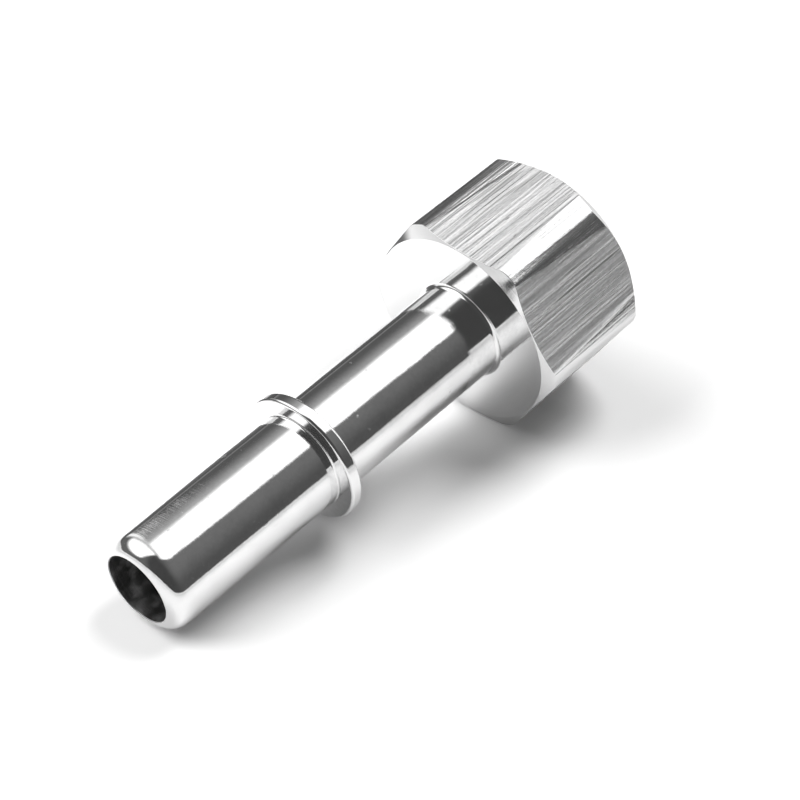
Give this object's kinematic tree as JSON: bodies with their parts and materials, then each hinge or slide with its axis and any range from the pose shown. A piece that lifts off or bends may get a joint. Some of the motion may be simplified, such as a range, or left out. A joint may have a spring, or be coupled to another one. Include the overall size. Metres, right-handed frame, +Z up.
{
  "type": "quick connect fitting",
  "caption": "One-piece metal adapter: a straight beaded tube end for a push-on connector, a hexagon for a spanner and a threaded port in its far end.",
  "frame": {"origin": "middle of the bounding box's base, on the surface that the fitting lies on", "axes": "+X from the nose towards the hexagon, +Z up; the fitting lies on its nose and one flat, so its own axis rises by 7.490 degrees from the nose to the port"},
  "size_m": [0.0562, 0.023, 0.0216],
  "materials": {
    "metal": "turned faces bright polished, hexagon flats as drawn with fine lines along the bar"
  },
  "bodies": {
    "root": {"fitting_body": "metal"}
  },
  "joints": []
}
